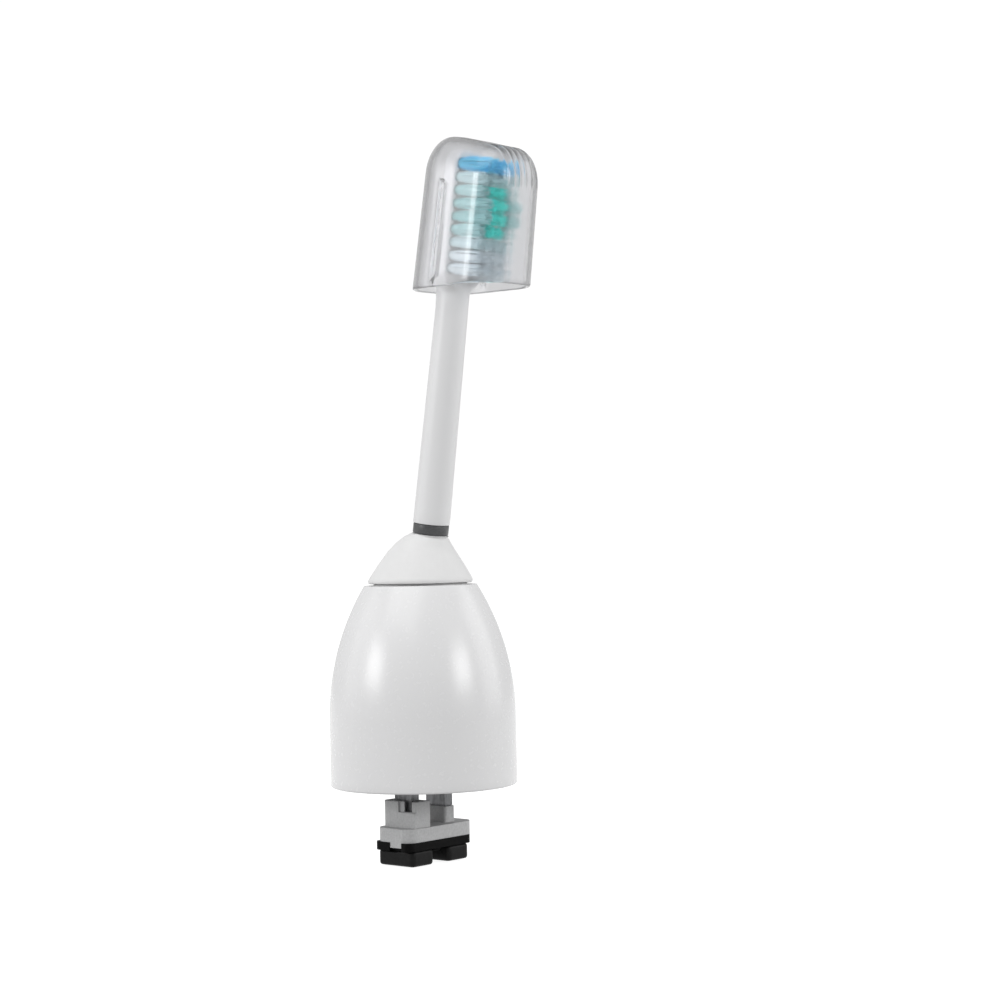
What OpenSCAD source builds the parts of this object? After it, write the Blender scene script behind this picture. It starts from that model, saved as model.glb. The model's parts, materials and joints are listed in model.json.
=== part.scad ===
// Screw-on brush head of a sonic toothbrush, with its clear travel cap.
// Millimetres. The origin is the centre of the nut's lower rim, on the screw axis.
// +Z runs up the screw axis towards the brush, and the bristles face -Y.
// The lever swings about a pin that lies along Y, so the bristles sweep along X.

/* [Retaining nut] */
// Outer radius of the bell at its lower rim
nut_r = 14.5; // [14.3:0.1:15]
// Height of the straight lower wall
nut_straight_h = 10.5; // [10.2:0.1:11]
// Overall height of the nut
nut_h = 31; // [30.8:0.1:31]
// Radius of the arc that closes the bell
nut_crown_r = 39.7; // [39.5:0.1:42]
// Radius of the wall between the thread's turns
thread_root_r = 12.5; // [12.3:0.1:12.7]
// Height of the thread's ridge
thread_depth = 0.8; // [0.5:0.1:0.9]
// Rise of the thread in one turn
thread_pitch = 3; // [2.5:0.1:3.2]
// Number of turns of the thread
thread_turns = 2.2; // [1.5:0.1:2.4]

/* [Pivot] */
// Height of the pivot pin above the rim
pivot_z = 24.1; // [23.8:0.1:24.4]
// Radius of the torsion pin
pin_r = 1; // [0.9:0.05:1.1]
// Radial running clearance of the lever on the pin
pin_gap = 0.03; // [0.02:0.01:0.08]

/* [Neck] */
// Forward lean of the neck from the screw axis, in degrees
neck_lean = 8.9; // [8:0.1:10]
// Radius of the neck just above the colour ring
neck_low_r = 2.87; // [2.7:0.01:3]
// Radius of the neck where it meets the plate
neck_high_r = 2.52; // [2.4:0.01:2.7]
// Distance along the neck from the pin to the colour ring
ring_s = 15.02; // [14.8:0.01:15.2]
// Height of the colour ring
ring_h = 1.56; // [1.3:0.01:1.8]
// Outer radius of the colour ring
ring_r = 2.78; // [2.7:0.01:2.85]

/* [Bristle plate] */
// Distance along the neck from the pin to the plate's lower end
plate_s = 54; // [53.6:0.1:54.1]
// Length of the plate
plate_len = 20.1; // [19.9:0.1:20.4]
// Width of the plate
plate_w = 8.7; // [8.5:0.1:9]
// How far the plate's front stands forward of the neck's axis
plate_front = 2.2; // [2:0.1:2.4]
// How far the plate's back stands behind the neck's axis
plate_back = 0.3; // [0.2:0.1:0.8]
// Distance between tuft rows
row_pitch = 1.97; // [1.9:0.01:2]
// Distance between tuft columns
column_pitch = 2.1; // [2:0.05:2.15]
// Radius of one tuft
tuft_r = 0.8; // [0.65:0.05:0.85]

/* [Travel cap] */
// Width of the cap at its rim
cap_w = 13.4; // [13.2:0.1:14]
// Depth of the cap at its rim, along the bristles
cap_d = 17.5; // [17.3:0.1:18]
// Thickness of the cap's wall
cap_wall = 0.8; // [0.7:0.1:1]
// Distance along the neck from the pin to the middle of the cap's rim
cap_s = 53.3; // [52.5:0.1:53.8]
// Height of the cap above the middle of its rim
cap_h = 22.7; // [22.5:0.1:23.5]
// Angle by which the rim climbs towards the front, in degrees
cap_rim_tilt = 8.6; // [6:0.1:10]
// How much lower the closed end is at the front than at the back
cap_front_drop = 0.9; // [0:0.1:1.2]

/* [Drive end] */
// Thickness of the carrier's flange
flange_h = 2.1; // [1.9:0.1:2.3]
// Thickness of the keeper plate
keeper_h = 1.3; // [1.1:0.1:1.5]
// Height of one magnet
magnet_h = 2.4; // [2:0.1:2.6]

/* [Hidden] */
$fn = 64;
eps = 0.01;

// Inside of the nut
thread_start_z = 2.2;
thread_steps = 24;
thread_top_z = thread_start_z + thread_pitch * thread_turns + 1.8;
relief_r = 11;
shoulder_z = 19.8;
shoulder_r = 9.3;
mouth_r = 8;

// Housing that the nut clamps
flange_top_z = shoulder_z - 0.1;
flange_bottom_z = 17.3;
flange_r = 10.7;
hub_r = 7;
hub_top_r = 6.4;
hub_top_z = 31.6;
hub_step_z = pivot_z + 3;
skirt_bottom_z = 13.5;
skirt_r = 7.9;
bore_high_r = 5.3;
bore_low_r = 6.3;
notch_w = 3;
notch_h = 1.8;
pin_len = 2 * hub_r - 0.4;
bush_r = 2;
bush_len = 2.1;
gasket_inner_r = 8.05;
gasket_outer_r = 9.9;
gasket_h = 0.9;

// Lever
boss_r = 3.2;
boss_half_y = 2.6;
web_w = 5.6;
leg_x = 2.95;
leg_t = 1.2;
leg_front_y = -1.55;
leg_back_y = 2.45;
leg_d = leg_back_y - leg_front_y;
leg_rib_w = 1;
leg_rib_t = 0.6;
leg_rib_y = -1;
leg_rib_drop = 1.5;
tongue_inset = 1;
tongue_d = leg_d - 2 * tongue_inset;
bridge_z = 19.2;
bridge_h = 1.6;
tang_w = 2.8;
tang_d = 2;
tang_top_s = 13.5;
tongue_bottom_z = -5.6;

// Stem below and inside the colour ring
root_s = 4.4;
root_r = 3.4;
root_top_s = 10;
root_taper_h = 2;
under_ring_r = 2.6;
ring_bore_r = 2.2;
tang_gap = 0.02;
plate_corner_r = 2.6;
blend_below = 2;
blend_above = 2;
blend_w = 6.4;
boss_room_r = 4.6;
boss_room_h = 5.4;

// Carrier: the two sockets differ in height and depth
flange_z = -6.1;
flange_w = 15;
flange_d = 7.4;
flange_corner_r = 2;
near_socket_top_z = -2.1;
near_socket_x = -4.1;
near_socket_w = 3.6;
near_front_y = -3.35;
near_front_d = 3.5;
near_back_w = 3.4;
near_back_d = 6.3;
near_back_y = 0.45;
far_socket_top_z = -3.6;
far_socket_x = 3.45;
far_socket_y = 0.55;
far_socket_w = 2.3;
far_socket_d = 5.5;
socket_corner_r = 0.5;
slot_gap = 0.02;
tab_w = 0.7;
tab_d = 2.4;
tab_drop = 0.8;
tab_y = -0.8;
slot_depth = -tongue_bottom_z + 0.05;

// Shallow step in the near socket's outer side, at the front
step_in = 0.4;
step_back_y = 0.15;
step_h = 1.65;

// Notch in the near socket for the leg's rib, in plan: how far in from the socket's side, and y
near_notch_h = 1.6;
near_notch = [
    [-0.1, -2.65],
    [-0.1, -1.2],
    [1.1, -0.4],
    [1.8, -0.4],
    [1.8, -1.65]
];

// Keeper, magnets and rivets below the carrier
keeper_z = flange_z - flange_h - keeper_h;
keeper_x = -0.4;
keeper_w = flange_w - 0.5;
keeper_d = flange_d + 0.2;
keeper_corner_r = 1.2;
magnet_z = keeper_z - magnet_h;
magnet_x = 4;
magnet_w = 4.9;
magnet_d = 7.4;
magnet_corner_r = 0.8;
rivet_y = 2;
rivet_r = 0.6;
rivet_head_r = 1.1;
rivet_head_h = 0.5;
rivet_grip = 1.3;

// Tuft columns and rows: rows count from the tip
tuft_columns = [-1.5, -0.5, 0.5, 1.5];
row_count = 9;
first_row_s = 71.85;
tip_tuft_r = 0.9;
hole_depth = 1.5;
hole_gap = 0.03;
anchor_w = 1.2;
anchor_t = 0.25;
anchor_h = 0.5;

// Boot sections: height above the screw face, radius, forward offset
boot_base_z = 31.3;
boot_sections = [
    [0, 8.15, 0],
    [0.8, 8.02, 0.05],
    [2.7, 6.85, 0.25],
    [4.7, 5.5, 0.55],
    [6.6, 3.9, 1.3]
];
boot_wall = 0.8;
sleeve_r = 7.3;
sleeve_z = 27.5;
band_r = 7.7;
band_z = 27.9;
band_h = 1.8;

// Travel cap: its middle stands forward of the neck's axis
cap_forward = 3.56;
cap_corner_r = 5;
// The closed end's rounded edge: how far it comes in from the wall, and how far below the end it starts
cap_edge_r = 4;
cap_edge_rise = 5.9;
cap_draft = 0.33;
cap_below = 2;
cap_rib_d = 0.8;
cap_rib_h = 15.6;
cap_rib_gap = 0.1;
cap_rib_inner_x = plate_w / 2 + cap_rib_gap;
cap_rib_w = cap_w / 2 - cap_wall / 2 - cap_rib_inner_x;
cap_rib_y = 2.76;
cap_rib_z = 8.1;

// Length of a tuft from the plate's face to the tip: rows 3 and 4 stand proud, most of all at the sides
bristle_base = 5.4;
bristle_proud = 1;
bristle_proud_centre = 0.5;
function bristle_len(row, column) =
    row != 3 && row != 4 ? bristle_base
    : bristle_base + (abs(column) > 1 ? bristle_proud : bristle_proud_centre);
function row_s(row) = first_row_s - row * row_pitch;

// The frame of the neck: its origin is on the pin, and z runs along the neck
module along_neck() {
    translate([0, 0, pivot_z]) rotate([neck_lean, 0, 0]) children();
}

// A rectangle with round corners
module rounded_rect(w, d, r) {
    square([w - 2 * r, d], center = true);
    square([w, d - 2 * r], center = true);
    for (sx = [-1, 1], sy = [-1, 1]) {
        translate([sx * (w / 2 - r), sy * (d / 2 - r)]) circle(r = r);
    }
}

// A tube standing on z
module tube(outer_r, inner_r, z, h) {
    translate([0, 0, z]) rotate_extrude() translate([inner_r, 0]) square([outer_r - inner_r, h]);
}

// Section of the thread's ridge: distance from the axis, and height
thread_profile = [
    [thread_root_r + 0.3, -0.95], [thread_root_r - thread_depth, -0.35],
    [thread_root_r - thread_depth, 0.35], [thread_root_r + 0.3, 0.95]
];
function thread_point(p, i) =
    let (a = 360 * i / thread_steps)
    [p[0] * cos(a), p[0] * sin(a), thread_start_z + p[1] + thread_pitch * i / thread_steps];

module thread_ridge() {
    rings = round(thread_turns * thread_steps);
    points = [for (i = [0:rings]) for (p = thread_profile) thread_point(p, i)];
    sides = [for (i = [0:rings - 1]) for (k = [0:3])
        [4 * i + k, 4 * i + 4 + k, 4 * i + 4 + (k + 1) % 4, 4 * i + (k + 1) % 4]];
    ends = [[0, 1, 2, 3], [for (k = [3:-1:0]) 4 * rings + k]];
    polyhedron(points, concat(sides, ends), convexity = 6);
}

// Bell-shaped nut: it screws on the handle and turns freely on the housing
module retaining_nut() {
    color("whitesmoke") union() {
        difference() {
            rotate_extrude() nut_outline();
            translate([0, 0, -eps]) cylinder(r = thread_root_r, h = thread_top_z + eps);
            cylinder(r = relief_r, h = shoulder_z);
            cylinder(r = shoulder_r, h = shoulder_z + 2);
            translate([0, 0, shoulder_z + 2 - eps]) cylinder(r1 = shoulder_r, r2 = mouth_r, h = 4);
            cylinder(r = mouth_r, h = nut_h + 1);
        }
        thread_ridge();
    }
}

module nut_outline() {
    square([nut_r, nut_straight_h]);
    intersection() {
        translate([nut_r - nut_crown_r, nut_straight_h]) circle(r = nut_crown_r, $fn = 256);
        translate([0, nut_straight_h - eps]) square([nut_r, nut_h - nut_straight_h + eps]);
    }
}

// Housing: the nut's shoulder clamps its flange on the handle, and the pin is fixed in its hub.
// Two notches in its skirt set which way the brush faces on the handle.
module pivot_housing() {
    color("gainsboro") difference() {
        rotate_extrude() housing_outline();
        translate([0, 0, skirt_bottom_z]) cube([3 * skirt_r, notch_w, 2 * notch_h], center = true);
        translate([0, 0, pivot_z]) rotate([90, 0, 0]) cylinder(r = pin_r, h = 4 * hub_r, center = true);
    }
}

module housing_outline() {
    polygon([
        [bore_low_r, skirt_bottom_z], [skirt_r, skirt_bottom_z], [skirt_r, flange_bottom_z],
        [flange_r, flange_bottom_z], [flange_r, flange_top_z], [hub_r, flange_top_z],
        [hub_r, hub_step_z], [hub_top_r, hub_step_z], [hub_top_r, hub_top_z],
        [bore_high_r, hub_top_z], [bore_high_r, flange_top_z + 1.5], [bore_low_r, flange_top_z + 0.5]
    ]);
}

// Pin of spring steel: its ends are held in the hub
module torsion_pin() {
    color("silver") translate([0, 0, pivot_z]) rotate([90, 0, 0])
        cylinder(r = pin_r, h = pin_len, center = true);
}

// Sleeves that centre the lever between the walls of the hub
module pivot_bushes() {
    color("ivory") translate([0, 0, pivot_z]) for (side = [0, 1]) {
        mirror([0, side, 0]) translate([0, boss_half_y + 0.1, 0]) rotate([-90, 0, 0])
            tube(bush_r, pin_r, 0, bush_len);
    }
}

// Flat ring that seals the flange on the handle
module base_gasket() {
    color("dimgray") tube(gasket_outer_r, gasket_inner_r, flange_bottom_z - gasket_h, gasket_h);
}

// Soft boot between the hub and the neck
module seal_boot() {
    color("whitesmoke") difference() {
        union() {
            boot_shape(0);
            tube(sleeve_r, hub_top_r, sleeve_z, boot_base_z - sleeve_z + 0.1);
        }
        difference() {
            boot_shape(boot_wall);
            cylinder(r = nut_r, h = boot_base_z + boot_wall);
        }
        along_neck() cylinder(r = neck_low_r - 0.12, h = ring_s + 1);
        translate([0, 0, hub_step_z]) cylinder(r = hub_top_r, h = hub_top_z - hub_step_z);
        cylinder(r = bore_high_r, h = boot_base_z + boot_wall + eps);
    }
}

// The boot's outside, or the same shape drawn in by a wall
module boot_shape(wall) {
    hull() {
        for (section = boot_sections) {
            translate([0, -section[2], boot_base_z + section[0] - wall])
                cylinder(r = section[1] - wall, h = 0.05, $fn = 48);
        }
        along_neck() translate([0, 0, ring_s - 0.25 - 2 * wall])
            cylinder(r = ring_r - wall / 4, h = 0.15, $fn = 48);
    }
}

// Band that holds the boot's sleeve on the hub
module boot_clamp_ring() {
    color("silver") tube(band_r, sleeve_r, band_z, band_h);
}

// Metal lever: a tang in the stem, a boss on the pin, and two legs down to the carrier
module lever_frame() {
    color("dimgray") difference() {
        union() {
            translate([0, 0, pivot_z]) rotate([90, 0, 0])
                cylinder(r = boss_r, h = 2 * boss_half_y, center = true);
            along_neck() translate([-tang_w / 2, -tang_d / 2, 0]) cube([tang_w, tang_d, tang_top_s]);
            translate([-web_w / 2, leg_front_y, bridge_z]) cube([web_w, leg_d, pivot_z - bridge_z]);
            translate([-leg_x - leg_t, leg_front_y, bridge_z])
                cube([2 * (leg_x + leg_t), leg_d, bridge_h]);
            mirror([1, 0, 0]) lever_leg(near_socket_top_z, leg_rib_drop);
            lever_leg(far_socket_top_z, 0);
        }
        translate([0, 0, pivot_z]) rotate([90, 0, 0])
            cylinder(r = pin_r + pin_gap, h = 4 * boss_half_y, center = true);
    }
}

// One leg on the +X side, with a narrow tongue below its shoulder.
// The stiffening rib outside it can run a little way below the shoulder.
module lever_leg(shoulder, rib_drop) {
    translate([leg_x, leg_front_y, shoulder]) cube([leg_t, leg_d, bridge_z - shoulder + eps]);
    translate([leg_x, leg_front_y + tongue_inset, tongue_bottom_z])
        cube([leg_t, tongue_d, shoulder - tongue_bottom_z + eps]);
    translate([leg_x + leg_t - eps, leg_rib_y - leg_rib_w / 2, shoulder - rib_drop])
        cube([leg_rib_t, leg_rib_w, bridge_z - shoulder + rib_drop]);
}

// Plastic stem: a root on the lever's tang, the neck, and the plate that carries the tufts
module brush_stem() {
    color("white") along_neck() difference() {
        union() {
            translate([0, 0, root_s]) cylinder(r = root_r, h = root_top_s - root_s);
            translate([0, 0, root_top_s - eps]) cylinder(r1 = root_r, r2 = under_ring_r, h = root_taper_h);
            translate([0, 0, root_top_s]) cylinder(r = under_ring_r, h = ring_s - root_top_s);
            translate([0, 0, ring_s - eps]) cylinder(r = ring_bore_r, h = ring_h + 2 * eps);
            translate([0, 0, ring_s + ring_h])
                cylinder(r1 = neck_low_r, r2 = neck_high_r, h = plate_s - blend_below - ring_s - ring_h);
            plate_blend();
            bristle_plate();
        }
        translate([-tang_w / 2 - tang_gap, -tang_d / 2 - tang_gap, 0])
            cube([tang_w + 2 * tang_gap, tang_d + 2 * tang_gap, tang_top_s + tang_gap]);
        translate([0, 0, -1]) cylinder(r = boss_room_r, h = boss_room_h);
        for (row = [0:row_count - 1], column = tuft_columns) {
            tuft_place(row, column) cylinder(r = row_tuft_r(row) + hole_gap, h = hole_depth + 1);
            tuft_place(row, column) anchor();
        }
    }
}

module bristle_plate() {
    translate([0, plate_back, plate_s + plate_len / 2]) rotate([90, 0, 0])
        linear_extrude(plate_front + plate_back) rounded_rect(plate_w, plate_len, plate_corner_r);
}

// The neck widens into the plate
module plate_blend() {
    hull() {
        translate([0, 0, plate_s - blend_below - 0.1]) cylinder(r = neck_high_r, h = 0.2, $fn = 48);
        translate([-blend_w / 2, -plate_front, plate_s + blend_above])
            cube([blend_w, plate_front + plate_back, 0.2]);
    }
}

// A tuft's place: its origin is the bottom of the hole, and z runs out through the bristles
function row_tuft_r(row) = row == 0 ? tip_tuft_r : tuft_r;
function row_spread(row) = row == 0 ? 0.9 : 1;
module tuft_place(row, column) {
    translate([column * column_pitch * row_spread(row), hole_depth - plate_front, row_s(row)])
        rotate([90, 0, 0]) children();
}

module tuft(row, column) {
    tuft_place(row, column) cylinder(r = row_tuft_r(row), h = hole_depth + bristle_len(row, column));
}

module tufts_tip() {
    color("dodgerblue") along_neck() for (column = tuft_columns) tuft(0, column);
}

module tufts_upper() {
    color("white") along_neck() for (row = [1, 2], column = tuft_columns) {
        if (row == 1 || abs(column) > 1) tuft(row, column);
    }
}

module tufts_centre() {
    color("lightseagreen") along_neck() for (row = [2:5], column = [-0.5, 0.5]) tuft(row, column);
}

module tufts_side() {
    color("white") along_neck() for (row = [3:5], column = [-1.5, 1.5]) tuft(row, column);
}

module tufts_heel() {
    color("white") along_neck() for (row = [6:row_count - 1], column = tuft_columns) tuft(row, column);
}

// Metal staples sunk in the plate under the tufts
module tuft_anchors() {
    color("darkgoldenrod") along_neck() for (row = [0:row_count - 1], column = tuft_columns) {
        tuft_place(row, column) anchor();
    }
}

module anchor() {
    translate([0, 0, -anchor_h / 2]) cube([anchor_w, anchor_t, anchor_h], center = true);
}

// Ring that marks whose brush head it is
module colour_ring() {
    color("dimgray") along_neck() tube(ring_r, ring_bore_r, ring_s, ring_h);
}

// Moulded carrier: two sockets for the legs on a flange, with end tabs down round the keeper
module magnet_carrier() {
    color("darkgray") difference() {
        union() {
            translate([0, 0, flange_z - flange_h])
                linear_extrude(flange_h) rounded_rect(flange_w, flange_d, flange_corner_r);
            translate([near_socket_x, 0, flange_z - eps])
                linear_extrude(near_socket_top_z - flange_z) near_socket_outline();
            translate([far_socket_x, far_socket_y, flange_z - eps])
                linear_extrude(far_socket_top_z - flange_z)
                    rounded_rect(far_socket_w, far_socket_d, socket_corner_r);
            for (side = [-1, 1]) {
                translate([side * (flange_w - tab_w) / 2, tab_y, flange_z - flange_h - tab_drop / 2])
                    cube([tab_w, tab_d, tab_drop + eps], center = true);
            }
        }
        for (side = [-1, 1]) {
            translate([side * (leg_x + leg_t / 2), (leg_front_y + leg_back_y) / 2, 0])
                cube([leg_t + 2 * slot_gap, tongue_d + 2 * slot_gap, 2 * slot_depth], center = true);
        }
        translate([near_socket_x - near_socket_w / 2, 0, near_socket_top_z]) {
            translate([0, 0, -near_notch_h]) linear_extrude(2 * near_notch_h) polygon(near_notch);
            translate([-step_in, step_back_y - near_back_d, -step_h])
                cube([2 * step_in, near_back_d, 2 * step_h]);
        }
        for (side = [-1, 1]) {
            translate([keeper_x, side * rivet_y, keeper_z])
                cylinder(r = rivet_r, h = keeper_h + rivet_grip + 0.1);
        }
    }
}

// The near socket is round at the back and square in front
module near_socket_outline() {
    translate([0, near_back_y]) rounded_rect(near_back_w, near_back_d, 2 * socket_corner_r);
    translate([0, near_front_y + near_front_d / 2])
        rounded_rect(near_socket_w, near_front_d, socket_corner_r / 2);
}

// Soft-iron plate behind the magnets, notched for the carrier's end tabs
module keeper_plate() {
    color("black") difference() {
        translate([keeper_x, 0, keeper_z])
            linear_extrude(keeper_h) rounded_rect(keeper_w, keeper_d, keeper_corner_r);
        for (side = [-1, 1]) {
            translate([side * flange_w / 2, tab_y, keeper_z])
                cube([2 * (tab_w + slot_gap), tab_d + 2 * slot_gap, 4 * keeper_h], center = true);
            translate([keeper_x, side * rivet_y, keeper_z - 1]) cylinder(r = rivet_r, h = keeper_h + 2);
        }
    }
}

module drive_magnet(side) {
    translate([keeper_x + side * magnet_x, 0, magnet_z])
        linear_extrude(magnet_h) rounded_rect(magnet_w, magnet_d, magnet_corner_r);
}

module magnet_left() {
    color("black") drive_magnet(-1);
}

module magnet_right() {
    color("black") drive_magnet(1);
}

// Rivets between the magnets that hold the keeper on the carrier
module carrier_rivets() {
    color("silver") for (side = [-1, 1]) {
        translate([keeper_x, side * rivet_y, keeper_z - rivet_head_h]) {
            cylinder(r = rivet_head_r, h = rivet_head_h);
            cylinder(r = rivet_r, h = rivet_head_h + keeper_h + rivet_grip);
        }
    }
}

// Clear cap: a deep cup with a rounded closed end, whose rim climbs towards the front.
// A rib inside each side grips the plate.
module travel_cap() {
    color("aliceblue", 0.35) along_neck() translate([0, -cap_forward, cap_s]) difference() {
        union() {
            difference() {
                cap_shape(0, cap_h);
                cap_shape(cap_wall, cap_h - cap_wall);
            }
            for (side = [-1, 1]) {
                translate([side * (cap_rib_inner_x + cap_rib_w / 2), cap_rib_y, cap_rib_z])
                    cube([cap_rib_w, cap_rib_d, cap_rib_h], center = true);
            }
        }
        rotate([-cap_rim_tilt, 0, 0]) translate([0, 0, -cap_h])
            cube([3 * cap_w, 3 * cap_d, 2 * cap_h], center = true);
    }
}

// The cap's outside, or its cavity, drawn in by a wall. It reaches below the rim, where it is cut off.
module cap_shape(wall, h) {
    edge = cap_edge_r - wall;
    rise = cap_edge_rise - wall;
    hull() {
        cap_corners(0, 0) translate([0, 0, -cap_below - wall])
            cylinder(r = cap_corner_r - wall, h = 0.1, $fn = 48);
        cap_corners(cap_draft, cap_front_drop) translate([0, 0, h - rise]) scale([1, 1, rise / edge])
            rotate_extrude($fn = 32) intersection() {
                translate([cap_corner_r - cap_edge_r, 0]) circle(r = edge, $fn = 32);
                translate([0, -edge]) square([cap_corner_r, 2 * edge]);
            }
    }
}

// Repeats a shape at the centres of the cap's four corners, drawn in by an inset and lower at the front
module cap_corners(inset, front_drop) {
    corner_x = cap_w / 2 - cap_corner_r - inset;
    corner_y = cap_d / 2 - cap_corner_r - inset;
    for (sx = [-1, 1], sy = [-1, 1]) {
        translate([sx * corner_x, sy * corner_y, sy < 0 ? -front_drop : 0]) children();
    }
}

retaining_nut();
pivot_housing();
torsion_pin();
pivot_bushes();
base_gasket();
seal_boot();
boot_clamp_ring();
lever_frame();
brush_stem();
colour_ring();
tufts_tip();
tufts_upper();
tufts_centre();
tufts_side();
tufts_heel();
tuft_anchors();
magnet_carrier();
keeper_plate();
magnet_left();
magnet_right();
carrier_rivets();
travel_cap();
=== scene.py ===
"""Brush head of a sonic toothbrush with its clear travel cap, on a pale backdrop.

Sizes are in millimetres and are turned into the frame's metres where a mesh is made.
The neck's own frame has its origin on the pivot pin: x across, y back, and s up the neck.
"""

import json
import math
import random

import bmesh
import bpy
import numpy as np
from mathutils import Matrix, Vector


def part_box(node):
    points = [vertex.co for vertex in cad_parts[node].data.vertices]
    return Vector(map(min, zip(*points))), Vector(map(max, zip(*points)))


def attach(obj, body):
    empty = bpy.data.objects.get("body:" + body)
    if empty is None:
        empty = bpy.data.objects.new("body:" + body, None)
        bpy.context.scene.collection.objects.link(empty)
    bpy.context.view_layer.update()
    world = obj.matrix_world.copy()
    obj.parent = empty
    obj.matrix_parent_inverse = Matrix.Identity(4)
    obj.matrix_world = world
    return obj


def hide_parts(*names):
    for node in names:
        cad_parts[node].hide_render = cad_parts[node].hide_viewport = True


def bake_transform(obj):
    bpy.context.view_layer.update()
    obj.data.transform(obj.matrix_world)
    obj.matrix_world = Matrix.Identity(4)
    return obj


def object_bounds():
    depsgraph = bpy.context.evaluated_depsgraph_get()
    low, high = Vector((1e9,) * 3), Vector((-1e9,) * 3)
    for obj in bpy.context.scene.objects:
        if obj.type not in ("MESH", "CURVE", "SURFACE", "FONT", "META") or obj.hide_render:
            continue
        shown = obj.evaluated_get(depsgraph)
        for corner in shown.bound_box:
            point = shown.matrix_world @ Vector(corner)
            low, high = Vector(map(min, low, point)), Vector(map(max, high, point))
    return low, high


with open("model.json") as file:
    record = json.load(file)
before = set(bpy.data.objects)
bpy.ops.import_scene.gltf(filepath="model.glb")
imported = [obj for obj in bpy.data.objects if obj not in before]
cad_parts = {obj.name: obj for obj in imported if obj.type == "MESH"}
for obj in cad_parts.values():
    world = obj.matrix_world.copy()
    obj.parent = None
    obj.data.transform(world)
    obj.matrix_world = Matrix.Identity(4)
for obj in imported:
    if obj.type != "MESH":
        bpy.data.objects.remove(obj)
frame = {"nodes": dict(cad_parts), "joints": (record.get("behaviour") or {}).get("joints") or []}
cad_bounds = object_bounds()
random.seed(7)

MM = 0.001
TAU = 2 * math.pi
joints = {j["name"]: j for j in frame["joints"]}


# ---------------------------------------------------------------- places taken from the frame

def high_corner_mm(node):
    """The upper corner of a node's box."""
    return np.array(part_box(node)[1]) / MM


NUT_R, _, NUT_H = high_corner_mm("retaining_nut")
BOOT_R = high_corner_mm("seal_boot")[0]
PIVOT = np.array(joints["brush_sweep"]["pos_m"]) / MM
UP_NECK = np.array(joints["cap_pull"]["axis"], float)
UP_NECK /= np.linalg.norm(UP_NECK)
ACROSS = np.array([1.0, 0.0, 0.0])
BACK = np.cross(UP_NECK, ACROSS)
NECK_TO_WORLD = np.stack([ACROSS, BACK, UP_NECK])
NECK_LEAN = math.asin(-UP_NECK[1])


def from_neck(points):
    """Points in the neck's frame, (x, y, s), as points in the part's frame."""
    return np.asarray(points, float) @ NECK_TO_WORLD + PIVOT


# ---------------------------------------------------------------- sizes shared with the CAD model

NUT_STRAIGHT_H = 10.5
NUT_CROWN_R = 39.7
THREAD_ROOT_R, THREAD_DEPTH, THREAD_PITCH, THREAD_TURNS = 12.5, 0.8, 3.0, 2.2
THREAD_START_Z, THREAD_TOP_Z = 2.2, 10.6
RELIEF_R, SHOULDER_R, MOUTH_R = 11.0, 9.3, 8.0
SHOULDER_Z = 19.8
TAPER_LOW_Z, TAPER_HIGH_Z = SHOULDER_Z + 2, SHOULDER_Z + 6

BOOT_BASE_Z = 31.3
HUB_TOP_R, HUB_TOP_Z, HUB_BORE_R = 6.4, 31.6, 5.3
SLEEVE_R, SLEEVE_Z = 7.3, 27.5

RING_S, RING_H, RING_R, RING_BORE_R = 15.02, 1.56, 2.78, 2.2
NECK_LOW_R, NECK_HIGH_R = 2.87, 2.52
ROOT_S, ROOT_TOP_S, ROOT_TAPER_H, ROOT_R, UNDER_RING_R = 4.5, 10.0, 2.0, 3.4, 2.6

BLEND_S, BLEND_END_S = 52.3, 55.5
PLATE_TOP_S, PLATE_HALF_W, PLATE_FRONT, PLATE_BACK, PLATE_CORNER_R = 74.1, 4.35, 2.2, 0.3, 2.6
ROW_PITCH, COLUMN_PITCH, FIRST_ROW_S, ROWS = 1.97, 2.1, 71.85, 9
TUFT_COLUMNS = (-1.5, -0.5, 0.5, 1.5)
TUFT_R, TIP_TUFT_R, HOLE_DEPTH = 0.8, 0.9, 1.5

CAP_S, CAP_H, CAP_W, CAP_D, CAP_WALL = 53.3, 22.7, 13.4, 17.5, 0.8
CAP_CORNER_R, CAP_EDGE_R, CAP_EDGE_RISE, CAP_DRAFT, CAP_FORWARD = 5.0, 4.0, 5.9, 0.33, 3.56
CAP_RIM_SLOPE = math.tan(math.radians(8.6))
CAP_FRONT_DROP = 0.9
CAP_LIP_R, CAP_RIB_Y, CAP_RIB_TOP = 0.3, 2.76, 15.9


# ---------------------------------------------------------------- mesh helpers

def new_object(name, verts_mm, faces, smooth=True):
    """A mesh object from points in millimetres, with its faces turned outwards."""
    mesh = bpy.data.meshes.new(name)
    mesh.from_pydata([tuple(p * MM) for p in np.asarray(verts_mm, float)], [], faces)
    mesh.validate()
    obj = bpy.data.objects.new(name, mesh)
    bpy.context.scene.collection.objects.link(obj)
    fix = bmesh.new()
    fix.from_mesh(mesh)
    bmesh.ops.recalc_face_normals(fix, faces=fix.faces)
    fix.to_mesh(mesh)
    fix.free()
    for polygon in mesh.polygons:
        polygon.use_smooth = smooth
    return obj


def ring_faces(rings, segments, wrap=False, close_start=False, close_end=False):
    """Quads between neighbouring rings of points, with optional end faces."""
    faces = []
    last = rings if wrap else rings - 1
    for i in range(last):
        a, b = i * segments, (i + 1) % rings * segments
        for k in range(segments):
            n = (k + 1) % segments
            faces.append((a + k, a + n, b + n, b + k))
    if close_start:
        faces.append(tuple(range(segments)))
    if close_end:
        faces.append(tuple((rings - 1) * segments + k for k in reversed(range(segments))))
    return faces


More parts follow.
